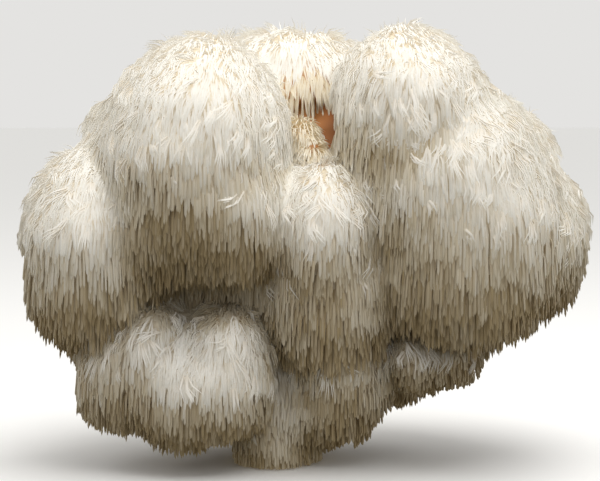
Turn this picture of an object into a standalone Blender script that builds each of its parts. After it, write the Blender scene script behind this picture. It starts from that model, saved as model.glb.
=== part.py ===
"""A lion's mane mushroom, picked and set down the way that it grew.

One body of rounded lobes of flesh, cut flat at the back where it grew from the wood, with
locks of spines that droop from it all round. Lengths are in millimetres until a mesh is made.
X runs to the right, Y to the back and Z up, with the origin in the middle of the resting spot.
"""

import math

import bmesh
import bpy
import numpy as np
from mathutils import Vector
from mathutils.bvhtree import BVHTree

MM = 0.001
SEED = 11
DOWN = np.array([0.0, 0.0, -1.0])

# Spines. Each solid is a lock of real spines that cling together, wide at the root and pointed.
LOCK_SPACING = 13.2
LOCK_WIDTH = 6.0
LOCK_THICKNESS = 4.2
ROOT_SINK = 2.8
MOST_ROOT_SHIFT = 7.0
FLOOR_CLEARANCE = 0.5
DROOP_STEPS = 6
DROOP = 0.5
SCATTER = 0.12
LENGTH_SPREAD = 0.1
LENGTH_LIMITS = (0.75, 1.25)
STAND_OFF = (3.0, 5.5)
STAND_UP = 1.0

# A lock's share of its lobe's longest spine, on a steep side and for each step up or down.
SIDE_SHARE = 0.62
UP_SHARE = 0.55

# How far a lock stands straight off the flesh at its root: underneath, at the side and on top.
LIFT = (0.9, 0.35, 0.5)

# The rest is a flat spot under the weight, and the cut is where the knife took it off the wood.
# No lock grows on either, or nearer to its rim than a lock needs.
REST_RADIUS = 26.0
REST_MARGIN = 9.0
CUT_Y = 76.0
CUT_RADIUS = 31.0
CUT_MARGIN = 5.0
CUT_DEPTH = 6.0
CUT_CENTRE = np.array([-4.0, CUT_Y, 98.0])

# A pocket between the crowns shows bare flesh.
CLEFT_CENTRE = np.array([4.0, -4.0, 146.0])
CLEFT_RADIUS = 17.0

# Lobes of flesh: the middle, the half sizes, and the length of a spine underneath and on top.
LOBES = {
    "left_crown": ((-48, -26, 149), (44, 46, 43), 20, 15),
    "left_cheek": ((-98, -10, 107), (29, 43, 41), 18, 14),
    "top_saddle": ((-9, 22, 170), (28, 31, 25), 18, 13),
    "right_crown": ((44, -14, 160), (37, 43, 37), 18, 14),
    "right_cheek": ((63, -28, 114), (48, 49, 49), 20, 15),
    "right_shoulder": ((81, 16, 139), (32, 41, 33), 16, 13),
    "right_flank": ((98, 14, 101), (21, 41, 31), 16, 13),
    "tongue_root": ((7, -40, 117), (16, 27, 18), 16, 12),
    "tongue": ((9, -48, 90), (26, 29, 31), 19, 13),
    "upper_bud": ((-4, -12, 148), (6, 6, 6), 9, 7),
    "lower_bud": ((3, -18, 140), (5, 5, 5), 8, 6),
    "lower_left_bump": ((-61, -40, 57), (17, 27, 20), 15, 12),
    "lower_middle_bump": ((-36, -42, 57), (19, 27, 20), 15, 12),
    "lower_left": ((-47, -34, 44), (28, 28, 24), 15, 12),
    "outer_left": ((-84, -20, 49), (19, 31, 25), 14, 11),
    "left_link": ((-76, 8, 74), (31, 39, 30), 15, 12),
    "base_left": ((-17, -16, 33), (20, 35, 26), 12, 10),
    "base_right": ((15, -16, 40), (23, 37, 26), 14, 11),
    "under_left": ((-56, -6, 34), (16, 27, 19), 13, 10),
    "under_right": ((45, -12, 47), (13, 25, 13), 8, 7),
    "under_far_right": ((60, -8, 50), (13, 25, 12), 8, 7),
    "back_left": ((-54, 36, 117), (47, 37, 48), 19, 14),
    "back_right": ((48, 38, 111), (51, 37, 48), 19, 14),
    "back_low": ((-26, 32, 52), (49, 37, 34), 15, 12),
    "back_low_right": ((36, 30, 60), (35, 35, 30), 15, 12),
    "middle": ((-4, 8, 100), (79, 43, 64), 16, 12),
    "stump": ((-4, 40, 96), (45, 46, 48), 15, 11),
    "rest": ((0, 0, 20), (36, 34, 28), 10, 9),
}
CENTRES = np.array([lobe[0] for lobe in LOBES.values()], float)
HALF_SIZES = np.array([lobe[1] for lobe in LOBES.values()], float)
BUDS = ("upper_bud", "lower_bud")

# The lobes melt into one skin, which keeps few faces, since the locks hide most of it.
LOBE_SEGMENTS = 24
LOBE_RINGS = 14
SKIN_CELL = 3.5
SKIN_SMOOTHING = 4
SKIN_TRIANGLES = 1300

# A root grows only where its lobe is this far clear of the others.
ROOT_CLEARANCE = 1.0

# The power in the usual formula for an ellipsoid's surface, and room for the spiral's crowding.
SURFACE_POWER = 1.6
SPIRAL_ROOM = 1.25

CREAM = (0.82, 0.74, 0.58, 1)
CREAM_ROUGHNESS = 0.75


def unit(vectors):
    """The same directions with a length of one."""
    lengths = np.linalg.norm(vectors, axis=-1, keepdims=True)
    return vectors / np.maximum(lengths, 1e-9)


def flesh_distance(points, skip=None):
    """How far each point is outside the flesh, and which lobe is the nearest."""
    nearest = np.full(len(points), np.inf)
    owner = np.zeros(len(points), int)
    for index, (centre, half) in enumerate(zip(CENTRES, HALF_SIZES)):
        if index == skip:
            continue
        offset = points - centre
        reach = np.maximum(np.linalg.norm(offset / half, axis=1), 1e-6)
        distance = (reach - 1) * np.linalg.norm(offset, axis=1) / reach
        closer = distance < nearest
        nearest[closer] = distance[closer]
        owner[closer] = index
    return nearest, owner


def outward(points, owner):
    """The direction out of the nearest lobe at each point."""
    return unit((points - CENTRES[owner]) / HALF_SIZES[owner] ** 2)


def roots_on(index, spacing, rng):
    """Even roots over one lobe, by a spiral from pole to pole, thinned where it crowds them."""
    half = HALF_SIZES[index]
    pairs = np.array([half[0] * half[1], half[0] * half[2], half[1] * half[2]])
    area = 4 * math.pi * np.mean(pairs**SURFACE_POWER) ** (1 / SURFACE_POWER)
    wanted = area / spacing**2
    count = max(8, int(wanted * pairs.max() / pairs.mean() * SPIRAL_ROOM))
    turn = (np.arange(count) + 0.5) * math.pi * (3 - math.sqrt(5))
    height = 1 - 2 * (np.arange(count) + 0.5) / count
    across = np.sqrt(1 - height**2)
    sphere = np.stack([across * np.cos(turn), across * np.sin(turn), height], 1)
    normals = sphere / half
    stretch = np.linalg.norm(normals, axis=1)
    kept = rng.uniform(0, 1, count) < stretch / stretch.mean() * wanted / count
    return CENTRES[index] + sphere[kept] * half, unit(normals[kept])


def is_bare(points, index):
    """Where no spines grow: the resting spot, the cut and the pocket between the crowns."""
    from_rest = np.hypot(points[:, 0], points[:, 1])
    on_rest = (points[:, 2] < REST_MARGIN) & (from_rest < REST_RADIUS + REST_MARGIN)
    from_cut = np.hypot(points[:, 0] - CUT_CENTRE[0], points[:, 2] - CUT_CENTRE[2])
    on_cut = (points[:, 1] > CUT_Y - CUT_DEPTH) & (from_cut < CUT_RADIUS + CUT_MARGIN)
    in_cleft = np.linalg.norm(points - CLEFT_CENTRE, axis=1) < CLEFT_RADIUS
    if list(LOBES)[index] in BUDS:
        in_cleft[:] = False
    return on_rest | on_cut | in_cleft


def droop(roots, normals, lengths, rng):
    """Paths that leave the flesh, run down its slope and hang, pushed clear of it at each step."""
    steepness = normals[:, 2]
    slope = DOWN - (normals @ DOWN)[:, None] * normals
    slope /= np.maximum(np.linalg.norm(slope, axis=1, keepdims=True), 0.05)
    lift = np.interp(steepness, [-1, 0, 1], LIFT)[:, None]
    way = unit(lift * normals + (1 - lift) * slope + rng.normal(0, SCATTER, normals.shape))
    clearance = rng.uniform(*STAND_OFF, len(roots)) + STAND_UP * np.clip(steepness, 0, 1)
    points = roots - normals
    path = [points]
    for _ in range(DROOP_STEPS):
        way = unit(way + DROOP * DOWN)
        points = points + way * (lengths / DROOP_STEPS)[:, None]
        distance, owner = flesh_distance(points)
        lack = np.clip(clearance - distance, 0, None)
        points = points + outward(points, owner) * lack[:, None]
        path.append(points)
    return np.stack(path, 1)


def set_on_skin(skin, roots):
    """Each root moved to the nearest point of the skin, with the skin's own outward direction."""
    found = [skin.find_nearest(Vector(root) * MM) for root in roots]
    points = np.array([point for point, _, _, _ in found]).reshape(-1, 3) / MM
    normals = np.array([normal for _, normal, _, _ in found]).reshape(-1, 3)
    near = np.array([distance for _, _, _, distance in found]) < MOST_ROOT_SHIFT * MM
    return points[near], normals[near]


def grow_locks(body):
    """The root, the outward direction and the tip of every lock."""
    rng = np.random.default_rng(SEED)
    shape = bmesh.new()
    shape.from_mesh(body.data)
    skin = BVHTree.FromBMesh(shape)
    shape.free()
    locks = []
    for index, (_, _, hang, top) in enumerate(LOBES.values()):
        roots, normals = roots_on(index, LOCK_SPACING, rng)
        free = flesh_distance(roots, skip=index)[0] > ROOT_CLEARANCE
        free &= ~is_bare(roots, index)
        roots, normals = set_on_skin(skin, roots[free])
        lengths = top + (hang - top) * np.clip(SIDE_SHARE - UP_SHARE * normals[:, 2], 0, 1)
        lengths *= np.clip(rng.normal(1, LENGTH_SPREAD, len(roots)), *LENGTH_LIMITS)
        tips = droop(roots, normals, lengths, rng)[:, -1]
        tips[:, 2] = np.maximum(tips[:, 2], FLOOR_CLEARANCE)
        locks += zip(roots, normals, tips)
    return locks


def mesh_object(name, points, faces):
    """A mesh object from points in millimetres."""
    mesh = bpy.data.meshes.new(name)
    mesh.from_pydata([tuple(point * MM) for point in points], [], faces)
    mesh.update()
    return bpy.data.objects.new(name, mesh)


def make_lock(number, root, normal, tip):
    """One three-sided lock, its flat side on the flesh and its root sunk in."""
    along = unit(tip - root)
    side = unit(np.cross(along, normal))
    out = np.cross(side, along)
    start = root - normal * ROOT_SINK - along * ROOT_SINK / 2
    corners = [
        start - side * LOCK_WIDTH / 2 - out * LOCK_THICKNESS / 3,
        start + side * LOCK_WIDTH / 2 - out * LOCK_THICKNESS / 3,
        start + out * LOCK_THICKNESS * 2 / 3,
        tip,
    ]
    return mesh_object(f"lock_{number}", corners, [(0, 1, 2), (1, 0, 3), (2, 1, 3), (0, 2, 3)])


def make_lobe(name, centre, half):
    """One round lobe."""
    mesh = bpy.data.meshes.new(name)
    shape = bmesh.new()
    bmesh.ops.create_uvsphere(shape, u_segments=LOBE_SEGMENTS, v_segments=LOBE_RINGS, radius=1)
    for vert in shape.verts:
        vert.co = Vector([(c + h * a) * MM for c, h, a in zip(centre, half, vert.co)])
    shape.to_mesh(mesh)
    shape.free()
    return bpy.data.objects.new(name, mesh)


def spine_material():
    """Cream spines, slightly soft to the light."""
    material = bpy.data.materials.new("mushroom_flesh")
    material.use_nodes = True
    shader = material.node_tree.nodes["Principled BSDF"]
    shader.inputs["Base Color"].default_value = CREAM
    shader.inputs["Roughness"].default_value = CREAM_ROUGHNESS
    return material


def apply_modifier(body, modifier):
    """Makes one modifier a real part of the mesh."""
    bpy.ops.object.select_all(action="DESELECT")
    bpy.context.view_layer.objects.active = body
    body.select_set(True)
    bpy.ops.object.modifier_apply(modifier=modifier.name)


def join(body, pieces):
    """One Boolean union of the body with all of the pieces, which are then removed."""
    together = bpy.data.collections.new("growth")
    bpy.context.scene.collection.children.link(together)
    for piece in pieces:
        together.objects.link(piece)
    union = body.modifiers.new("grown_together", "BOOLEAN")
    union.operation = "UNION"
    union.operand_type = "COLLECTION"
    union.collection = together
    union.solver = "MANIFOLD"
    apply_modifier(body, union)
    for piece in pieces:
        bpy.data.objects.remove(piece)
    bpy.data.collections.remove(together)


def melt(body):
    """Softens the creases between the lobes and leaves a skin of few faces."""
    remesh = body.modifiers.new("even_skin", "REMESH")
    remesh.mode = "VOXEL"
    remesh.voxel_size = SKIN_CELL * MM
    apply_modifier(body, remesh)
    smooth = body.modifiers.new("soft_creases", "SMOOTH")
    smooth.factor = 0.5
    smooth.iterations = SKIN_SMOOTHING
    apply_modifier(body, smooth)
    body.data.calc_loop_triangles()
    decimate = body.modifiers.new("few_faces", "DECIMATE")
    decimate.ratio = SKIN_TRIANGLES / len(body.data.loop_triangles)
    apply_modifier(body, decimate)


def slice_flat(body, point, normal):
    """Takes off what is past a plane and leaves a flat face there."""
    shape = bmesh.new()
    shape.from_mesh(body.data)
    bmesh.ops.bisect_plane(
        shape,
        geom=shape.verts[:] + shape.edges[:] + shape.faces[:],
        plane_co=Vector(point) * MM,
        plane_no=normal,
        clear_outer=True,
    )
    rim = [edge for edge in shape.edges if edge.is_boundary]
    bmesh.ops.contextual_create(shape, geom=rim)
    bmesh.ops.triangulate(shape, faces=shape.faces)
    bmesh.ops.recalc_face_normals(shape, faces=shape.faces)
    shape.to_mesh(body.data)
    shape.free()


def keep_outer_skin(body):
    """Hollows sealed inside are filled and loose scraps are dropped."""
    shape = bmesh.new()
    shape.from_mesh(body.data)
    unseen = set(shape.verts)
    skins = []
    while unseen:
        front = [unseen.pop()]
        skin = list(front)
        while front:
            vert = front.pop()
            linked = [edge.other_vert(vert) for edge in vert.link_edges]
            fresh = set(linked) & unseen
            unseen -= fresh
            front += fresh
            skin += fresh
        skins.append(skin)
    skins.sort(key=len)
    for skin in skins[:-1]:
        bmesh.ops.delete(shape, geom=skin, context="VERTS")
    shape.to_mesh(body.data)
    shape.free()


def build():
    """The whole mushroom, as one node."""
    for obj in list(bpy.data.objects):
        bpy.data.objects.remove(obj)
    lobes = [make_lobe(name, lobe[0], lobe[1]) for name, lobe in LOBES.items()]
    body = lobes.pop()
    body.name = "lions_mane_mushroom"
    bpy.context.scene.collection.objects.link(body)
    body.data.materials.append(spine_material())
    join(body, lobes)
    melt(body)
    slice_flat(body, (0, 0, 0), (0, 0, -1))
    slice_flat(body, CUT_CENTRE, (0, 1, 0))
    join(body, [make_lock(number, *lock) for number, lock in enumerate(grow_locks(body))])
    keep_outer_skin(body)


build()
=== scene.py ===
"""A lion's mane mushroom: pale flesh in rounded lobes under a dense coat of drooping spines."""

import math

import bpy
import numpy as np
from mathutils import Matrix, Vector
from mathutils.kdtree import KDTree


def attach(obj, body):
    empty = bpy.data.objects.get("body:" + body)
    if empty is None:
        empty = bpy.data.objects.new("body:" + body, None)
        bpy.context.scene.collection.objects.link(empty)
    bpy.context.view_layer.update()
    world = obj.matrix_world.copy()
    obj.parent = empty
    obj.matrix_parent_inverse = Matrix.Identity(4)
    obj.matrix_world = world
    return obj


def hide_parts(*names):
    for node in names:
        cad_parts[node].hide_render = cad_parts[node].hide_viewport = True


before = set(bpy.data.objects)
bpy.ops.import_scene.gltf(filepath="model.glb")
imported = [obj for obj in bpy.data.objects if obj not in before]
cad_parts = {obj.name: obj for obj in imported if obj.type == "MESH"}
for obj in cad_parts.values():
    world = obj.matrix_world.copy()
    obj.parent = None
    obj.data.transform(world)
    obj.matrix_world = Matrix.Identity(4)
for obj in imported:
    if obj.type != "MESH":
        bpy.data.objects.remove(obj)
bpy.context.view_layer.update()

NODE = "lions_mane_mushroom"
BODY = "root"
MM = 0.001
SEED = 23
DOWN = np.array([0.0, 0.0, -1.0])

# Sizes are in millimetres until a mesh is made. A spine is a little over 1 mm thick.
SPINE_SIDES = 3
FEWEST_SPINES = 5

# Spines stand closer on top than on the sides, and change over between these two slopes.
TOP_SPACING = 1.15
SIDE_SPACING = 1.8
SPACING_SLOPES = (0.0, 0.4)

# Rows along a spine and its thickness there: the hanging ones are blunt, the tufted ones on top taper.
SPINE_KINDS = {
    "spines": ((0.0, 0.4, 0.9, 1.0), (1.0, 1.05, 0.9, 0.0)),
    "tufts": ((0.0, 0.5, 1.0), (1.0, 0.85, 0.0)),
}
TUFTED_ABOVE = 0.25

# What their shading follows: the flat faces, the roundness, and the whole coat on the outer face.
SHADING = {"spines": (0.3, 0.45, 0.25), "tufts": (0.45, 0.25, 0.3)}
OUTER_FACE = 0.7

# On the colour map a spine starts low and rises nearly to the top; its corners spread a little across.
MAP_LOW = 0.02
MAP_RISE = 0.96
MAP_SPREAD = 0.004

# Each rule below has four values: where the flesh faces down, sideways, a little up, and up.
STEEPNESS = (-0.6, -0.1, 0.35, 0.9)
LIFT = (0.85, 0.3, 0.2, 0.28)
STRAY = (0.015, 0.025, 0.07, 0.11)
PULL = (0.42, 0.32, 0.21, 0.1)
HOLD = (0.0, 0.05, 0.5, 0.6)
RADIUS = (0.62, 0.58, 0.53, 0.46)
# The tone is painted shade: spines are darker the more the flesh under them faces down.
PAINTED_SHADE_TONE = (0.2, 0.45, 0.82, 0.96)

# One spine in this many is the middle of a tuft, and holds the others, more so towards the tip.
TUFT_SHARE = 9
HOLD_CURVE = 1.3

# How far single spines and whole tufts differ from the rules above.
LENGTH_SPREAD = 0.1
LENGTH_LIMITS = (0.7, 1.3)
TUFT_LENGTH_SPREAD = 0.06
LIFT_SPREAD = 0.06
TUFT_LIFT_SPREAD = 0.1
LIFT_LIMITS = (0.05, 1.0)
TUFT_STRAY = 1.5
HOLD_SPREAD = (0.6, 1.2)
RADIUS_SPREAD = (0.85, 1.15)
TONE_SPREAD = 0.06
TUFT_TONE_SPREAD = 0.05
TONE_LIMITS = (0.03, 0.97)

# Paths grow in short steps, each pushed back out of the flesh and kept clear of the ground.
DROOP_STEPS = 10
CLEARANCE = (0.2, 1.5)
TUFT_CLEARANCE = (0.0, 0.8)
MOST_PUSH = 1.2
GROUND_CLEARANCE = 0.6

# A few wisps stand off the upper sides and tops, shorter and thinner than the rest.
WISP_SHARE = 0.03
WISP_LIFT = (0.6, 1.0)
WISP_LENGTH = 0.75
WISP_RADIUS = 0.6

# Spines under an overhang get painted shade, duller and darker: how far up and out it is looked for, how
# softly and how much.
OVERHANG_UP = 24.0
OVERHANG_OUT = 8.0
OVERHANG_SOFT = 7.0
OVERHANG_SHADE = 0.15
OVERHANG_TOP_SHADE = 0.5

# Patches up to a centimetre across are a little paler or duller.
PATCH_TONE = 0.15
PATCH_FINENESS = 2.5

# On the tops of the lobes the spines lean away from the body's upright axis.
BODY_AXIS = np.array([0.0, 14.0, 0.0])
COMB = 0.5
COMB_RISE = 2.0
COMB_LEVEL = 0.2
LEAST_LEAN = 0.3

# Roots lie on a scattered spiral over each lobe, with spare turns for where a long egg needs them.
AREA_POWER = 1.6
SPARE_TURNS = 1.25
FEWEST_TURNS = 8
SPIRAL_SCATTER = 0.25
SUNK = 0.3

# The coat's own thickness, taken off the lobes; they run into each other over the blend.
COAT_BELOW = 4.0
COAT_SIDE = 1.0
BLEND = 3.5
BLEND_LIMITS = (-30, 60)

# The resting spot, the cut at the back and the bare pocket between the crowns.
REST_RADIUS = 26.0
REST_BARE_HEIGHT = 5.0
CUT_CENTRE = np.array([-4.0, 76.0, 98.0])
CUT_RADIUS = 31.0
BARE_RIM = 3.0
POCKET_CENTRE = np.array([3.5, -19.0, 152.0])
POCKET_HALF = np.array([13.0, 20.0, 13.0])
POCKET_EDGE = 1.5
POCKET_EDGE_LIMITS = (-30, 30)
POCKET_RIM = 1.0

# Lobes of the body: the middle, the half sizes, and a spine's length underneath and on top.
LOBES = {
    "left_peak": ((-47, -27, 144), (37, 45, 46), 15, 10),
    "left_crown": ((-50, -30, 139), (38, 47, 41), 15, 10),
    "left_waist": ((-30, -29, 117), (22, 40, 24), 14, 10),
    "left_hollow": ((-69, -22, 114), (20, 40, 25), 14, 10),
    "left_shoulder": ((-75, -2, 138), (25, 38, 30), 13, 10),
    "left_cheek": ((-95, -20, 102), (30, 43, 39), 15, 10),
    "top_saddle": ((-11, 12, 175), (36, 28, 19), 10, 11),
    "saddle_curtain": ((-4, 0, 162), (19, 23, 20), 15, 10),
    "right_crown": ((44, -27, 158), (33, 44, 36), 13, 10),
    "right_waist": ((58, -27, 127), (39, 46, 38), 14, 10),
    "right_fold": ((65, -24, 138), (27, 40, 32), 13, 10),
    "right_cheek": ((68, -25, 110), (43, 47, 47), 16, 10),
    "right_shoulder": ((81, 14, 130), (32, 40, 32), 13, 10),
    "right_flank": ((103, 2, 103), (21, 42, 30), 12, 9),
    "tongue_root": ((7, -40, 107), (20, 28, 28), 12, 10),
    "tongue": ((10, -28, 84), (27, 29, 31), 14, 10),
    "upper_bud": ((-4, -31, 149), (5, 5, 5), 7, 7),
    "lower_bud": ((1, -35, 142), (4, 4, 4), 6, 6),
    "lower_left_bump": ((-69, -30, 53), (18, 22, 22), 12, 9),
    "lower_middle_bump": ((-37, -31, 52), (18, 22, 22), 12, 9),
    "lower_left": ((-48, -29, 39), (31, 28, 20), 12, 9),
    "outer_left": ((-84, -14, 47), (19, 30, 21), 13, 9),
    "left_link": ((-80, 6, 72), (32, 38, 30), 14, 9),
    "base_left": ((-14, 1, 32), (19, 28, 26), 11, 9),
    "base_right": ((14, -8, 44), (22, 31, 25), 11, 9),
    "under_left": ((-58, -8, 34), (16, 26, 19), 13, 9),
    "under_right": ((47, -12, 50), (13, 25, 14), 6, 5),
    "under_far_right": ((62, -8, 51), (14, 24, 12), 6, 5),
    "back_left": ((-54, 36, 117), (47, 37, 48), 15, 10),
    "back_right": ((48, 38, 111), (51, 37, 48), 15, 10),
    "back_low": ((-26, 32, 52), (49, 37, 34), 13, 9),
    "back_low_right": ((36, 30, 60), (35, 35, 30), 13, 9),
    "nape": ((-6, 25, 146), (36, 28, 34), 12, 10),
    "middle": ((-4, 8, 100), (79, 43, 64), 13, 9),
    "stump": ((-4, 40, 96), (45, 46, 48), 13, 9),
    "rest": ((-15, 0, 17), (18, 27, 26), 9, 8),
    "rest_side": ((6, -3, 27), (17, 24, 18), 7, 7),
}
NAMES = list(LOBES)
CENTRES = np.array([lobe[0] for lobe in LOBES.values()], float)
HALF_SIZES = np.array([lobe[1] for lobe in LOBES.values()], float)

# The two small buds in the pocket are mops of thin, pale spines, thickly set.
BUDS = ("upper_bud", "lower_bud")
BUD_SPACING = 0.8
BUD_LIFT = 0.9
BUD_PULL = 0.2
BUD_STRAY = 0.12
BUD_RADIUS = 0.38
BUD_TONE = 0.9
IS_BUD = np.array([name in BUDS for name in NAMES])
CENTRES[~IS_BUD, 2] += 0.5 * COAT_BELOW
HALF_SIZES[~IS_BUD] -= (COAT_SIDE, COAT_SIDE, 0.5 * COAT_BELOW)

# The flesh: the faces of an egg, and the even skin over all of them.
LOBE_SEGMENTS = 32
LOBE_RINGS = 18
SKIN_CELL = 3.0
SKIN_SMOOTHING = 4
SKIN_SMOOTHNESS = 0.5

# Long waves that swell and dent the flesh a little, so that no lobe is a plain egg.
WAVE_LENGTHS = np.array([52.0, 44.0, 36.0, 30.0, 26.0, 22.0, 18.0, 15.0, 13.0])
WAVE_HEIGHTS = 0.6 * (WAVE_LENGTHS / WAVE_LENGTHS.max()) ** 0.5
WAVE_RNG = np.random.default_rng(4)
WAVE_WAYS = WAVE_RNG.normal(size=(len(WAVE_LENGTHS), 3))
WAVE_PHASES = WAVE_RNG.uniform(0, 2 * math.pi, len(WAVE_LENGTHS))

# Loose flakes on the coat: across and height of the place, length, turn along it and strips.
FLAKES = (
    (-63.0, 115.0, 9.0, 1.4, 5),
    (-43.5, 122.0, 8.0, 0.9, 4),
    (-39.0, 116.0, 5.0, 1.4, 4),
    (47.5, 121.0, 9.0, 1.2, 5),
    (61.5, 108.0, 8.0, 1.0, 4),
    (2.0, 133.0, 14.0, 2.4, 9),
)
FLAKE_TURN = 0.7
FLAKE_RADIUS = 0.65

# Smaller flakes strewn over the steep sides.
STRAY_FLAKES = 60
STRAY_STRIPS = 3
STRAY_LENGTH = (5, 9)
STRAY_CURL = (0.6, 1.5)
STRAY_STEEPNESS = 0.35

# A ragged fringe of locks across the right crown: its two ends, its locks and how far they stray.
FRINGE_ENDS = ((26.0, 152.0), (88.0, 152.0))
FRINGE_LOCKS = 90
FRINGE_SPREAD = 4.0

# The shade it casts, painted into the tone of the spines below: how strong, how it grows over the height
# below, and its wavy edge.
FRINGE_SHADE = 0.3
FRINGE_SHADE_BELOW = ((-13.0, -6.0, 0.0), (0.0, 1.0, 0.0))
FRINGE_WAVE = 4
FRINGE_WAVE_TURN = 0.35

# Feathery locks over the slopes, away from the pocket, which fall the way the coat does.
FEATHER_LOCKS = 700
FEATHER_STRIPS = 7
FEATHER_LENGTH = (8, 13)
FEATHER_TURN_SPREAD = 0.3
FEATHER_CURL_SPREAD = 0.5
FEATHER_RADIUS = 0.42
FEATHER_STEEPNESS = (-0.15, 0.8)
LOCKS_FROM_POCKET = 36.0

# A placed flake or a lock of the fringe starts at the frontmost root within this reach of its place.
FIND_REACH = 3.0

# How all of these rise out of the coat and fall back on it, and how their strips differ.
LOCK_HEIGHT = 3.0
LOCK_HEIGHT_SPREAD = 0.3
LOCK_RISE_START = 0.12
LOCK_RISE_SHARE = 0.7
LOCK_TURN_SPREAD = 0.16
LOCK_PLACE_SPREAD = 0.6
LOCK_FACES_UP = 0.5
LOCK_TONE = 0.9
LOCK_TONE_SPREAD = 0.07

# Shades along a spine from its root, where it is darker partly as painted shade deep in the coat, the warmer
# ones beside the pocket, and shades for its tone, whose dark olive end is painted shade.
CREAM_SHADES = ((0.0, "ece5d8"), (0.35, "f4f0e9"), (0.7, "f8f7f3"), (1.0, "fbfbf9"))
WARM_SHADES = ((0.0, "dcc39a"), (0.35, "ebdfc6"), (0.7, "f3ecdc"), (1.0, "f6f1e5"))
TONE_AND_PAINTED_SHADE_COLOURS = ((0.0, "b19f7c"), (0.35, "ddd4c1"), (0.7, "f4f2ed"), (1.0, "fbfaf8"))
WARM_LOBES = ("saddle_curtain", "upper_bud", "lower_bud")
WARM_TONE = 0.5

# Shades of the bare flesh, and of the bruise around the pocket from its left to its right.
FLESH_SHADES = ((0.3, "dccfb6"), (0.7, "ece5d5"))
BRUISE_SHADES = ((0.0, "d9a063"), (0.6, "b87a45"), (1.0, "955a30"))

# The bruise fades from its core out to its reach, and is kept off the upper bud.
BRUISE_REACH = 33.0
BRUISE_CORE = 0.6
BUD_PALE_REACH = 7.0
BUD_PALE_END = 1.3

# One large soft light, in metres and watts, and a sky that is white overhead and dim low down.
LIGHT_PLACE = Vector((0.2, -0.3, 1.25))
LIGHT_AIM = Vector((0, 0, 0.1))
LIGHT_SIZE = 0.8
LIGHT_POWER = 9.3
LIGHT_TINT = (1.0, 0.996, 0.988)
SKY_SHADES = ((0.0, "726a58"), (0.36, "969187"), (1.0, "ebebea"))
SKY_LOW = -0.3
SKY_HIGH = 0.5

# The plain pale grey that is seen behind the mushroom, and the floor under it.
BACKDROP_SHADE = "e4e3e1"
FLOOR_SHADE = "faf9f7"
FLOOR_SIZE = 60

# The camera looks at the middle of the mushroom from the photograph's height.
VIEW_DISTANCE = 800.0
VIEW_HEIGHT_ANGLE = 4.0
VIEW_TARGET = Vector((-4, -6, 100))
SENSOR_WIDTH = 36
MM_PER_PIXEL = 0.45
IMAGE_WIDTH = 600
IMAGE_HEIGHT = 481
VIEW_MIDDLE_ROW = 243


def unit(vectors):
    """The same directions with a length of one."""
    lengths = np.linalg.norm(vectors, axis=-1, keepdims=True)
    return vectors / np.maximum(lengths, 1e-9)


WAVES = unit(WAVE_WAYS) * (2 * math.pi / WAVE_LENGTHS)[:, None]


def egg_distance(points, centre, half):
    """How far each point is outside an egg shape."""
    offset = points - centre
    reach = np.maximum(np.linalg.norm(offset / half, axis=1), 1e-6)
    return (reach - 1) * np.linalg.norm(offset, axis=1) / reach


def melted_distance(points):
    """How far each point is outside the lobes, which run softly into each other, and the way out."""
    total = np.zeros(len(points))
    way = np.zeros(points.shape)
    for centre, half in zip(CENTRES[~IS_BUD], HALF_SIZES[~IS_BUD]):
        near = np.exp(-np.clip(egg_distance(points, centre, half), *BLEND_LIMITS) / BLEND)
        total += near
        way += near[:, None] * unit((points - centre) / half**2)
    swell = np.sin(points @ WAVES.T + WAVE_PHASES) @ WAVE_HEIGHTS
    return -BLEND * np.log(np.maximum(total, 1e-12)) - swell, unit(way)


def flesh_distance(points):
    """How far each point is outside the flesh, with its pocket and buds, and the way out."""
    distance, way = melted_distance(points)
    depth = -egg_distance(points, POCKET_CENTRE, POCKET_HALF)
    power = np.clip((distance - depth) / POCKET_EDGE, *POCKET_EDGE_LIMITS)
    carved = 1 / (1 + np.exp(power))[:, None]
    into_pocket = unit((POCKET_CENTRE - points) / POCKET_HALF**2)
    distance = POCKET_EDGE * np.logaddexp(distance / POCKET_EDGE, depth / POCKET_EDGE)
    out = unit((1 - carved) * way + carved * into_pocket)
    for centre, half in zip(CENTRES[IS_BUD], HALF_SIZES[IS_BUD]):
        from_bud = egg_distance(points, centre, half)
        out = np.where((from_bud < distance)[:, None], unit((points - centre) / half**2), out)
        distance = np.minimum(distance, from_bud)
    return distance, out


def onto_flesh(points):
    """The points moved onto the surface of the flesh, and the way out there."""
    for _ in range(2):
        distance, out = flesh_distance(points)
        points = points - out * distance[:, None]
    return points, out


def inside_another(points, index):
    """Where a root on one lobe is sunk in any other."""
    sunk = np.zeros(len(points), bool)
    for other in range(len(NAMES)):
        if other != index:
            sunk |= egg_distance(points, CENTRES[other], HALF_SIZES[other]) < -SUNK
    return sunk


def is_bare(points, index):
    """Where no spines grow: the resting spot, the cut and the pocket between the crowns."""
    from_middle = np.hypot(points[:, 0], points[:, 1])
    on_rest = (points[:, 2] < REST_BARE_HEIGHT) & (from_middle < REST_RADIUS + BARE_RIM)
    from_cut = np.hypot(points[:, 0] - CUT_CENTRE[0], points[:, 2] - CUT_CENTRE[2])
    on_cut = (points[:, 1] > CUT_CENTRE[1] - BARE_RIM) & (from_cut < CUT_RADIUS + BARE_RIM)
    in_pocket = egg_distance(points, POCKET_CENTRE, POCKET_HALF) < POCKET_RIM
    if IS_BUD[index]:
        in_pocket[:] = False
    return on_rest | on_cut | in_pocket


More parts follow.
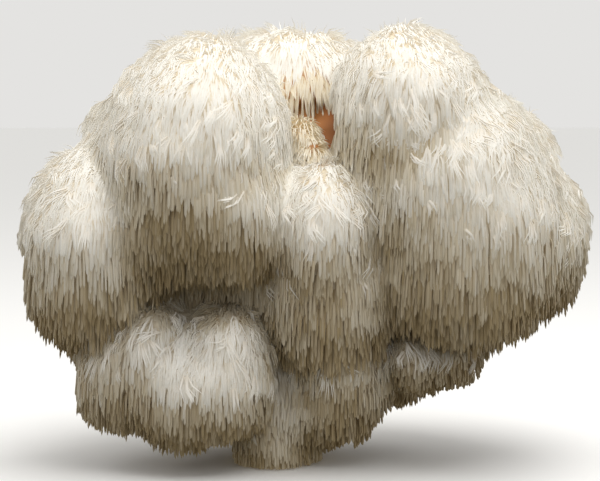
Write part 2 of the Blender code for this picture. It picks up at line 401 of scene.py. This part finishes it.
def spiral_over(index, spacing, rng):
    """Even points over one lobe, by a spiral from pole to pole, thinned where it crowds them."""
    half = HALF_SIZES[index]
    pairs = np.array([half[0] * half[1], half[0] * half[2], half[1] * half[2]])
    area = 4 * math.pi * np.mean(pairs**AREA_POWER) ** (1 / AREA_POWER)
    wanted = area / spacing**2
    stretch_room = pairs.max() / pairs.mean() * SPARE_TURNS
    count = max(FEWEST_TURNS, int(wanted * stretch_room))
    turn = (np.arange(count) + 0.5) * math.pi * (3 - math.sqrt(5))
    height = 1 - 2 * (np.arange(count) + 0.5) / count
    across = np.sqrt(1 - height**2)
    sphere = np.stack([across * np.cos(turn), across * np.sin(turn), height], 1)
    sphere = unit(sphere + rng.normal(0, SPIRAL_SCATTER * spacing / half.mean(), sphere.shape))
    stretch = np.linalg.norm(sphere / half, axis=1)
    kept = rng.uniform(0, 1, count) < stretch / stretch.mean() * wanted / count
    return CENTRES[index] + sphere[kept] * half


def roots_on(index, rng):
    """The roots of one lobe's spines on the flesh, closer together on top, and the way out at each."""
    roots = spiral_over(index, BUD_SPACING if IS_BUD[index] else TOP_SPACING, rng)
    roots = roots[~inside_another(roots, index) & ~is_bare(roots, index)]
    if len(roots) < FEWEST_SPINES:
        return roots[:0], roots[:0]
    roots, normals = onto_flesh(roots)
    side_share = (TOP_SPACING / SIDE_SPACING) ** 2
    share = np.interp(normals[:, 2], SPACING_SLOPES, (side_share, 1))
    kept = (rng.uniform(0, 1, len(roots)) < share) | IS_BUD[index]
    return roots[kept], normals[kept]


def guides_of(roots, rng):
    """For each root, the index of the nearest of a few roots picked as the middles of tufts."""
    picked = rng.choice(len(roots), max(1, len(roots) // TUFT_SHARE), replace=False)
    tree = KDTree(len(picked))
    for number, root in enumerate(picked):
        tree.insert(roots[root], number)
    tree.balance()
    return np.array([picked[tree.find(root)[1]] for root in roots])


def combed(roots, normals):
    """The way a spine leans over the flesh: down the slope, and outwards over the tops of the lobes."""
    away = roots - BODY_AXIS
    away[:, 2] = 0
    share = COMB * np.clip(COMB_RISE * normals[:, 2] + COMB_LEVEL, 0, 1)[:, None]
    fall = DOWN + share * unit(away)
    lean = fall - (fall * normals).sum(axis=1)[:, None] * normals
    return lean / np.maximum(np.linalg.norm(lean, axis=1, keepdims=True), LEAST_LEAN)


def by_steepness(steepness, values):
    """The rule's value for each root, between its four values."""
    return np.interp(steepness, STEEPNESS, values)


def spine_habits(index, steepness, guide, rng):
    """How long each spine is, how far it lifts, how its tuft holds it and how thick it is."""
    count = len(steepness)
    _, _, hang, top = LOBES[NAMES[index]]
    lengths = by_steepness(steepness, (hang, 0.5 * (hang + top), top + 1, top))
    lengths *= np.clip(rng.normal(1, LENGTH_SPREAD, count), *LENGTH_LIMITS)
    lengths *= rng.normal(1, TUFT_LENGTH_SPREAD, count)[guide]
    lift = by_steepness(steepness, LIFT) + rng.normal(0, LIFT_SPREAD, count)
    lift += rng.normal(0, TUFT_LIFT_SPREAD, count)[guide]
    hold = by_steepness(steepness, HOLD) * rng.uniform(*HOLD_SPREAD, count)
    radii = by_steepness(steepness, RADIUS) * rng.uniform(*RADIUS_SPREAD, count)
    wisps = (rng.uniform(0, 1, count) < WISP_SHARE) & (steepness > STEEPNESS[2])
    lift[wisps] = rng.uniform(*WISP_LIFT, count)[wisps]
    hold[wisps] = 0
    lengths[wisps] *= WISP_LENGTH
    radii[wisps] *= WISP_RADIUS
    if IS_BUD[index]:
        lift[:] = BUD_LIFT
        hold[:] = 0
        radii[:] = BUD_RADIUS
    return lengths, np.clip(lift, *LIFT_LIMITS)[:, None], hold, radii


def first_way(index, roots, normals, lift, guide, rng):
    """The way each spine leaves the flesh: between straight out and combed, and a little astray."""
    stray = by_steepness(normals[:, 2], STRAY)
    if IS_BUD[index]:
        stray[:] = BUD_STRAY
    way = lift * normals + (1 - lift) * combed(roots, normals)
    way += stray[:, None] * rng.normal(0, 1, normals.shape)
    way += TUFT_STRAY * stray[:, None] * rng.normal(0, 1, normals.shape)[guide]
    return unit(way)


def hang_down(index, roots, normals, way, lengths, guide, rng):
    """Each spine's path from under its root to its tip, and the way out of the flesh beside it."""
    count = len(roots)
    pull = by_steepness(normals[:, 2], PULL)
    if IS_BUD[index]:
        pull[:] = BUD_PULL
    clearance = rng.uniform(*CLEARANCE, count) + rng.uniform(*TUFT_CLEARANCE, count)[guide]
    points = roots - normals
    path = [points]
    outs = [normals]
    for _ in range(DROOP_STEPS):
        way = unit(way + pull[:, None] * DOWN)
        points = points + way * (lengths / DROOP_STEPS)[:, None]
        distance, out = flesh_distance(points)
        lack = np.clip(clearance - distance, 0, MOST_PUSH)
        points = points + out * lack[:, None]
        path.append(points)
        outs.append(out)
    return np.stack(path, 1), np.stack(outs, 1)


def below_fringe(roots, normals):
    """How deep each root is in the fringe's shade, which is painted into its tone."""
    (left_end, height), (right_end, _) = FRINGE_ENDS
    from_fringe = roots[:, 2] - height + FRINGE_WAVE * np.sin(FRINGE_WAVE_TURN * roots[:, 0])
    across = (roots[:, 0] > left_end) & (roots[:, 0] < right_end)
    return np.interp(from_fringe, *FRINGE_SHADE_BELOW) * (across & (normals[:, 1] < 0))


def spine_tones_with_painted_shade(index, roots, normals, guide, rng):
    """How pale each spine is: a tone of its own, with painted shade that darkens it on steep and downward
    sides, under overhangs and below the fringe.
    """
    steepness = normals[:, 2]
    # Painted shade: darker the more the flesh faces down.
    tones = by_steepness(steepness, PAINTED_SHADE_TONE)
    if IS_BUD[index]:
        tones[:] = BUD_TONE
    tones += rng.normal(0, TONE_SPREAD, len(roots))
    tones += rng.normal(0, TUFT_TONE_SPREAD, len(roots))[guide]
    tones += PATCH_TONE * np.sin(PATCH_FINENESS * roots @ WAVES.T).mean(axis=1)
    # Painted shade under an overhang, stronger on the tops of lobes.
    above = roots + OVERHANG_OUT * normals - OVERHANG_UP * DOWN
    overhang_painted_shade = np.clip(1 - flesh_distance(above)[0] / OVERHANG_SOFT, 0, 1)
    tones -= overhang_painted_shade * (OVERHANG_SHADE + OVERHANG_TOP_SHADE * np.clip(steepness, 0, 1))
    # Painted shade below the fringe.
    tones -= FRINGE_SHADE * below_fringe(roots, normals)
    # The warm lobes beside the pocket keep only the upper half of the tone's range, so less of the painted
    # shade.
    if NAMES[index] in WARM_LOBES:
        tones = WARM_TONE + (1 - WARM_TONE) * np.clip(tones, 0, 1)
    return np.clip(tones, *TONE_LIMITS)


def droop(index, roots, normals, rng):
    """Paths that leave the flesh, lean down its slope and hang: in tufts on top, straight below."""
    guide = guides_of(roots, rng)
    lengths, lift, hold, radii = spine_habits(index, normals[:, 2], guide, rng)
    way = first_way(index, roots, normals, lift, guide, rng)
    path, outs = hang_down(index, roots, normals, way, lengths, guide, rng)
    reach = np.linspace(0, 1, DROOP_STEPS + 1)[None, :, None]
    path += (path[guide] - path) * hold[:, None, None] * reach**HOLD_CURVE
    path[:, :, 2] = np.maximum(path[:, :, 2], GROUND_CLEARANCE)
    return path, outs, radii, spine_tones_with_painted_shade(index, roots, normals, guide, rng)


def model_spine(rows):
    """One straight spine with these rows, a unit long and a unit in radius at its root."""
    bpy.ops.object.select_all(action="DESELECT")
    bpy.ops.mesh.primitive_cone_add(
        vertices=SPINE_SIDES, radius1=1, radius2=0, depth=1, end_fill_type="NOTHING", location=(0, 0, 0.5)
    )
    spine = bpy.context.object
    bpy.ops.object.transform_apply(location=True)
    bpy.ops.object.mode_set(mode="EDIT")
    for height in rows[1:-1]:
        bpy.ops.mesh.select_all(action="SELECT")
        bpy.ops.mesh.bisect(plane_co=(0, 0, height), plane_no=(0, 0, 1))
    bpy.ops.object.mode_set(mode="OBJECT")
    return spine


def repeat_mesh(name, shape, points):
    """A mesh with the shape's faces once for each row of points."""
    copies, per_copy = points.shape[:2]
    corners = np.array([loop.vertex_index for loop in shape.loops])
    starts = np.array([face.loop_start for face in shape.polygons])
    number = np.arange(copies)[:, None]
    mesh = bpy.data.meshes.new(name)
    mesh.vertices.add(copies * per_copy)
    mesh.vertices.foreach_set("co", (points * MM).astype(np.float32).ravel())
    mesh.loops.add(copies * len(corners))
    mesh.loops.foreach_set("vertex_index", (corners + number * per_copy).ravel().astype(np.int32))
    mesh.polygons.add(copies * len(starts))
    mesh.polygons.foreach_set("loop_start", (starts + number * len(corners)).ravel().astype(np.int32))
    mesh.update(calc_edges=True)
    mesh.validate()
    mesh.polygons.foreach_set("use_smooth", np.ones(len(mesh.polygons), bool))
    return mesh


def lay_map(mesh, angles, heights, tones):
    """The map that the colours follow: a spine's tone across it, and the way along the spine up it."""
    map_layer = mesh.uv_layers.new(name="OFBake")
    u = tones[:, None] + MAP_SPREAD * (angles / math.pi)[None]
    v = np.broadcast_to((MAP_LOW + MAP_RISE * heights)[None], u.shape)
    map_layer.data.foreach_set("uv", np.stack([u, v], -1).astype(np.float32).ravel())


def lay_spines(name, spine, kind, paths, outs, radii, tones):
    """One mesh with a copy of the spine bent along each path, a flat face outwards, lit as one coat."""
    shape = spine.data
    corners = np.array([vert.co for vert in shape.vertices])
    heights, thickness = np.array(SPINE_KINDS[kind])
    kept = np.round(heights * DROOP_STEPS).astype(int)
    paths = paths[:, kept]
    outs = outs[:, kept]
    rows = np.abs(corners[:, 2, None] - heights).argmin(axis=1)
    around = corners[:, :2] / np.maximum(np.linalg.norm(corners[:, :2], axis=1, keepdims=True), 1e-6)
    around[rows == len(heights) - 1] = 0
    along = unit(np.gradient(paths, axis=1))
    facing = outs * (1, 1, 0) + np.maximum(outs[:, :, 2:], 0) * (0, 0, 1)
    side = unit(np.cross(along, facing))
    inwards = np.cross(along, side)
    spread = around[:, 0, None] * side[:, rows] + around[:, 1, None] * inwards[:, rows]
    points = paths[:, rows] + spread * (thickness[rows] * radii[:, None])[:, :, None]
    mesh = repeat_mesh(name, shape, points)
    loops = np.array([loop.vertex_index for loop in shape.loops])
    loop_rows = rows[loops]
    angles = np.arctan2(around[:, 1], around[:, 0])
    lay_map(mesh, angles[loops], heights[loop_rows], tones)
    face_ways = [unit(around[list(face.vertices)].mean(axis=0)) for face in shape.polygons]
    flats = np.repeat(face_ways, [face.loop_total for face in shape.polygons], axis=0)
    flat = flats[:, 0, None] * side[:, loop_rows] + flats[:, 1, None] * inwards[:, loop_rows]
    outer = np.clip(-flats[:, 1], 0, 1)[None, :, None] > OUTER_FACE
    flatness, roundness, evenness = SHADING[kind]
    soft = flatness * flat + roundness * spread[:, loops] + evenness * outer * outs[:, loop_rows]
    mesh.normals_split_custom_set(unit(soft).reshape(-1, 3))
    piece = bpy.data.objects.new(name, mesh)
    bpy.context.scene.collection.objects.link(piece)
    return piece


def front_root(roots, x, z):
    """The root nearest the viewer at this place across and up."""
    near = np.flatnonzero(np.hypot(roots[:, 0] - x, roots[:, 2] - z) < FIND_REACH)
    return near[roots[near, 1].argmin()]


def place_flakes(roots, outs, rng):
    """The strips of the loose flakes: (root, length, first turn, curl, side) for each."""
    strips = []
    for x, z, length, curl, count in FLAKES:
        strips += [(front_root(roots, x, z), length, FLAKE_TURN, curl, 1)] * count
    steep = np.flatnonzero(np.abs(outs[:, 2]) < STRAY_STEEPNESS)
    for root in rng.choice(steep, STRAY_FLAKES, replace=False):
        length = rng.uniform(*STRAY_LENGTH)
        curl = rng.uniform(*STRAY_CURL)
        strips += [(root, length, FLAKE_TURN, curl, rng.choice((-1, 1)))] * STRAY_STRIPS
    return strips


def place_feathers(roots, outs, rng):
    """The strips of the feathery locks, given as for the flakes: the fringe's, then the slopes'."""
    places = []
    for x, z in np.linspace(*FRINGE_ENDS, FRINGE_LOCKS):
        places.append(front_root(roots, x, z + rng.normal(0, FRINGE_SPREAD)))
    steepest, flattest = FEATHER_STEEPNESS
    from_pocket = np.linalg.norm(roots - POCKET_CENTRE, axis=1)
    on_slope = (outs[:, 2] > steepest) & (outs[:, 2] < flattest) & (from_pocket > LOCKS_FROM_POCKET)
    places += list(rng.choice(np.flatnonzero(on_slope), FEATHER_LOCKS, replace=False))
    strips = []
    for root in places:
        length = rng.uniform(*FEATHER_LENGTH)
        turn = rng.normal(0.5 * math.pi, FEATHER_TURN_SPREAD)
        strips += [(root, length, turn, rng.normal(0, FEATHER_CURL_SPREAD), 1)] * FEATHER_STRIPS
    return strips


def lay_locks(strips, roots, outs, rng):
    """The paths of the loose strips, which rise out of the coat and fall back on it, and their facing."""
    chosen = strips[:, 0].astype(int)
    length, first, curl, turned = strips[:, 1:, None, None].transpose(1, 0, 2, 3)
    count = len(chosen)
    slope = unit(combed(roots[chosen], outs[chosen]))[:, None]
    out = outs[chosen][:, None]
    across = np.cross(out, slope) * turned
    reach = np.linspace(0, 1, DROOP_STEPS + 1)[None, :, None]
    turn = first + rng.normal(0, LOCK_TURN_SPREAD, (count, 1, 1)) + curl * reach
    steps = (np.cos(turn) * across + np.sin(turn) * slope) * length / DROOP_STEPS
    height = LOCK_HEIGHT * np.sin(math.pi * (LOCK_RISE_START + LOCK_RISE_SHARE * reach))
    height = height + rng.normal(0, LOCK_HEIGHT_SPREAD, (count, 1, 1))
    paths = roots[chosen][:, None] + out * height + np.cumsum(steps, axis=1)
    facing = np.repeat(unit(out - LOCK_FACES_UP * DOWN), DROOP_STEPS + 1, axis=1)
    return paths + rng.normal(0, LOCK_PLACE_SPREAD, (count, 1, 3)), facing


def colour(hex_value):
    """An sRGB hex colour as linear values with full alpha."""
    channels = [int(hex_value[i : i + 2], 16) / 255 for i in (0, 2, 4)]
    return [c / 12.92 if c <= 0.04045 else ((c + 0.055) / 1.055) ** 2.4 for c in channels] + [1]


def add_node(material, kind, links=(), **settings):
    """A node with its settings, and links given as (input, other node, other output)."""
    node = material.node_tree.nodes.new(kind)
    for key, value in settings.items():
        if key in node.inputs:
            node.inputs[key].default_value = value
        else:
            setattr(node, key, value)
    for socket, other, output in links:
        material.node_tree.links.new(other.outputs[output], node.inputs[socket])
    return node


def shade_ramp(ramp, shades):
    """Sets a ramp's colours from (position, sRGB hex) pairs."""
    stops = ramp.color_ramp.elements
    for stop, (position, shade) in zip(stops, (shades[0], shades[-1])):
        stop.position = position
        stop.color = colour(shade)
    for position, shade in shades[1:-1]:
        stops.new(position).color = colour(shade)


def between(material, source, output, start, end):
    """A value that goes from 0 to 1 while another goes from the start to the end."""
    node = add_node(material, "ShaderNodeMapRange", [("Value", source, output)])
    node.inputs["From Min"].default_value = start
    node.inputs["From Max"].default_value = end
    return node


def away_from(material, place, centre, start, end):
    """A value that goes from 0 to 1 between two distances from a place in the flesh."""
    gap = add_node(material, "ShaderNodeVectorMath", [(0, place, "Object")], operation="DISTANCE")
    gap.inputs[1].default_value = centre * MM
    return between(material, gap, "Value", start * MM, end * MM)


def spine_material(name, along_shades):
    """Fresh mushroom spines: moist, cream white, darker and tan where they meet the flesh, partly as painted
    shade deep in the coat, and darker still by the painted shade in each spine's tone.
    """
    material = bpy.data.materials.new(name)
    material.use_nodes = True
    tree = material.node_tree
    shader = tree.nodes["Principled BSDF"]

    # Moist but not wet: a wide, faint shine.
    shader.inputs["Roughness"].default_value = 0.62
    shader.inputs["Specular IOR Level"].default_value = 0.3

    # Paler towards the tip, with painted shade towards the root, and each spine has a tone of its own, which
    # carries painted shade.
    place = add_node(material, "ShaderNodeUVMap", uv_map="OFBake")
    parts = add_node(material, "ShaderNodeSeparateXYZ", [("Vector", place, "UV")])
    along = add_node(material, "ShaderNodeValToRGB", [("Fac", parts, "Y")])
    shade_ramp(along, along_shades)
    tone_with_painted_shade = add_node(material, "ShaderNodeValToRGB", [("Fac", parts, "X")])
    shade_ramp(tone_with_painted_shade, TONE_AND_PAINTED_SHADE_COLOURS)
    mix = add_node(material, "ShaderNodeMix", data_type="RGBA", blend_type="MULTIPLY")
    mix.inputs["Factor"].default_value = 1
    tree.links.new(along.outputs["Color"], mix.inputs["A"])
    tree.links.new(tone_with_painted_shade.outputs["Color"], mix.inputs["B"])
    tree.links.new(mix.outputs["Result"], shader.inputs["Base Color"])
    return material


def make_locks(model, roots, outs, rng):
    """The flakes and feathery locks that lie loose over the whole coat, as one piece."""
    flakes = place_flakes(roots, outs, rng)
    feathers = place_feathers(roots, outs, rng)
    paths, facing = lay_locks(np.array(flakes + feathers), roots, outs, rng)
    radii = np.repeat((FLAKE_RADIUS, FEATHER_RADIUS), (len(flakes), len(feathers)))
    tones = np.clip(rng.normal(LOCK_TONE, LOCK_TONE_SPREAD, len(paths)), 0, TONE_LIMITS[1])
    return lay_spines("loose_locks", model, "tufts", paths, facing, radii, tones)


def make_spines():
    """A coat of spines for each lobe that reaches the surface, and the loose locks over it."""
    models = {kind: model_spine(rows) for kind, (rows, _) in SPINE_KINDS.items()}
    cream = spine_material("cream_spines", CREAM_SHADES)
    warm = spine_material("warm_spines", WARM_SHADES)
    rng = np.random.default_rng(SEED)
    pieces = []
    all_roots = []
    all_outs = []
    for index, name in enumerate(NAMES):
        roots, normals = roots_on(index, rng)
        if not len(roots):
            continue
        all_roots.append(roots)
        all_outs.append(normals)
        coat = droop(index, roots, normals, rng)
        tufted = normals[:, 2] > TUFTED_ABOVE
        for kind, chosen in (("spines", ~tufted), ("tufts", tufted)):
            if chosen.sum() < FEWEST_SPINES:
                continue
            piece = lay_spines(f"{name}_{kind}", models[kind], kind, *[part[chosen] for part in coat])
            piece.data.materials.append(warm if name in WARM_LOBES else cream)
            pieces.append(piece)
    locks = make_locks(models["tufts"], np.concatenate(all_roots), np.concatenate(all_outs), rng)
    locks.data.materials.append(cream)
    pieces.append(locks)

    # Light gets between moist spines and through them, so they don't darken each other.
    for piece in pieces:
        piece.visible_shadow = False
    for model in models.values():
        bpy.data.objects.remove(model)
    return pieces


def flesh_material():
    """Bare flesh: matt and ivory with a fine tan mottle, bruised orange brown around the pocket."""
    material = bpy.data.materials.new("bare_flesh")
    material.use_nodes = True
    tree = material.node_tree
    shader = tree.nodes["Principled BSDF"]

    # Spongy and torn, so it has almost no shine.
    shader.inputs["Roughness"].default_value = 0.7

    # Ivory, mottled every few millimetres.
    place = add_node(material, "ShaderNodeTexCoord")
    mottle = add_node(
        material, "ShaderNodeTexNoise", [("Vector", place, "Object")], Scale=120.0, Detail=4.0, Roughness=0.6
    )
    ivory = add_node(material, "ShaderNodeValToRGB", [("Fac", mottle, "Fac")])
    shade_ramp(ivory, FLESH_SHADES)

    # The bruise is darker to the right.
    parts = add_node(material, "ShaderNodeSeparateXYZ", [("Vector", place, "Object")])
    left_end = (POCKET_CENTRE[0] - POCKET_HALF[0]) * MM
    right_end = (POCKET_CENTRE[0] + POCKET_HALF[0]) * MM
    across = between(material, parts, "X", left_end, right_end)
    bruise = add_node(material, "ShaderNodeValToRGB", [("Fac", across, "Result")])
    shade_ramp(bruise, BRUISE_SHADES)

    # It fades out around the pocket, and the upper bud in there stays pale.
    near = away_from(material, place, POCKET_CENTRE, BRUISE_REACH, BRUISE_CORE * BRUISE_REACH)
    bud = CENTRES[NAMES.index("upper_bud")]
    off_bud = away_from(material, place, bud, BUD_PALE_REACH, BUD_PALE_END * BUD_PALE_REACH)
    bruised = add_node(
        material, "ShaderNodeMath", [(0, near, "Result"), (1, off_bud, "Result")], operation="MULTIPLY"
    )
    mix = add_node(material, "ShaderNodeMix", [("Factor", bruised, "Value")], data_type="RGBA")
    tree.links.new(ivory.outputs["Color"], mix.inputs["A"])
    tree.links.new(bruise.outputs["Color"], mix.inputs["B"])
    tree.links.new(mix.outputs["Result"], shader.inputs["Base Color"])
    return material


def make_flesh():
    """The lobes melted into one body, flat where it rests and where it was cut."""
    lobes = []
    for centre, half in zip(CENTRES, HALF_SIZES):
        bpy.ops.object.select_all(action="DESELECT")
        bpy.ops.mesh.primitive_uv_sphere_add(
            segments=LOBE_SEGMENTS, ring_count=LOBE_RINGS, radius=1, location=centre * MM, scale=half * MM
        )
        lobes.append(bpy.context.object)
    for lobe in lobes:
        lobe.select_set(True)
    bpy.ops.object.join()
    bpy.ops.object.transform_apply(location=True, rotation=True, scale=True)
    flesh = bpy.context.object
    flesh.name = "flesh"
    flesh.data.name = "flesh"
    remesh = flesh.modifiers.new("even_skin", "REMESH")
    remesh.mode = "VOXEL"
    remesh.voxel_size = SKIN_CELL * MM
    bpy.ops.object.modifier_apply(modifier=remesh.name)
    smooth = flesh.modifiers.new("soft_creases", "SMOOTH")
    smooth.factor = SKIN_SMOOTHNESS
    smooth.iterations = SKIN_SMOOTHING
    bpy.ops.object.modifier_apply(modifier=smooth.name)
    points, _ = onto_flesh(np.array([vert.co for vert in flesh.data.vertices]) / MM)
    points[:, 2] = np.maximum(points[:, 2], 0)
    points[:, 1] = np.minimum(points[:, 1], CUT_CENTRE[1])
    flesh.data.vertices.foreach_set("co", (points * MM).astype(np.float32).ravel())
    flesh.data.materials.append(flesh_material())
    flesh.data.shade_smooth()
    return flesh


def make_stage():
    """A matt, almost white floor."""
    bpy.ops.object.select_all(action="DESELECT")
    bpy.ops.mesh.primitive_plane_add(size=FLOOR_SIZE, location=(0, 0, 0))
    floor = bpy.context.object
    floor.name = "floor"
    floor.visible_diffuse = False
    material = bpy.data.materials.new("pale_floor")
    material.use_nodes = True
    shader = material.node_tree.nodes["Principled BSDF"]
    shader.inputs["Base Color"].default_value = colour(FLOOR_SHADE)
    shader.inputs["Roughness"].default_value = 0.95
    floor.data.materials.append(material)


def make_light():
    """One large soft light above and in front of the mushroom."""
    data = bpy.data.lights.new("overhead", "AREA")
    data.size = LIGHT_SIZE
    data.energy = LIGHT_POWER
    data.color = LIGHT_TINT
    light = bpy.data.objects.new("overhead", data)
    light.location = LIGHT_PLACE
    light.rotation_euler = (LIGHT_AIM - LIGHT_PLACE).to_track_quat("-Z", "Y").to_euler()
    bpy.context.scene.collection.objects.link(light)


def make_sky():
    """A soft sky, white overhead and dim low down, with the plain backdrop where it is seen."""
    world = bpy.data.worlds.new("soft_sky")
    bpy.context.scene.world = world
    world.use_nodes = True
    background = world.node_tree.nodes["Background"]
    background.inputs["Strength"].default_value = 1.0
    place = add_node(world, "ShaderNodeTexCoord")
    parts = add_node(world, "ShaderNodeSeparateXYZ", [("Vector", place, "Generated")])
    height = between(world, parts, "Z", SKY_LOW, SKY_HIGH)
    sky = add_node(world, "ShaderNodeValToRGB", [("Fac", height, "Result")])
    shade_ramp(sky, SKY_SHADES)
    seen = add_node(world, "ShaderNodeLightPath")
    mix = add_node(world, "ShaderNodeMix", [("Factor", seen, "Is Camera Ray")], data_type="RGBA")
    mix.inputs["B"].default_value = colour(BACKDROP_SHADE)
    world.node_tree.links.new(sky.outputs["Color"], mix.inputs["A"])
    world.node_tree.links.new(mix.outputs["Result"], background.inputs["Color"])
    bpy.context.scene.view_settings.view_transform = "Standard"


def make_camera():
    """A long lens a little above the middle of the mushroom."""
    angle = math.radians(VIEW_HEIGHT_ANGLE)
    back = Vector((0, -math.cos(angle), math.sin(angle)))
    data = bpy.data.cameras.new("camera")
    data.sensor_width = SENSOR_WIDTH
    data.lens = data.sensor_width * VIEW_DISTANCE / (IMAGE_WIDTH * MM_PER_PIXEL)
    data.shift_y = (VIEW_MIDDLE_ROW - IMAGE_HEIGHT / 2) / IMAGE_WIDTH
    camera = bpy.data.objects.new("camera", data)
    camera.location = (VIEW_TARGET + back * VIEW_DISTANCE) * MM
    camera.rotation_euler = (-back).to_track_quat("-Z", "Y").to_euler()
    bpy.context.scene.collection.objects.link(camera)
    bpy.context.scene.camera = camera


make_camera()
make_light()
make_sky()
make_stage()
flesh = make_flesh()
coat = make_spines()
for piece in [flesh] + coat:
    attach(piece, BODY)
    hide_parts(NODE)
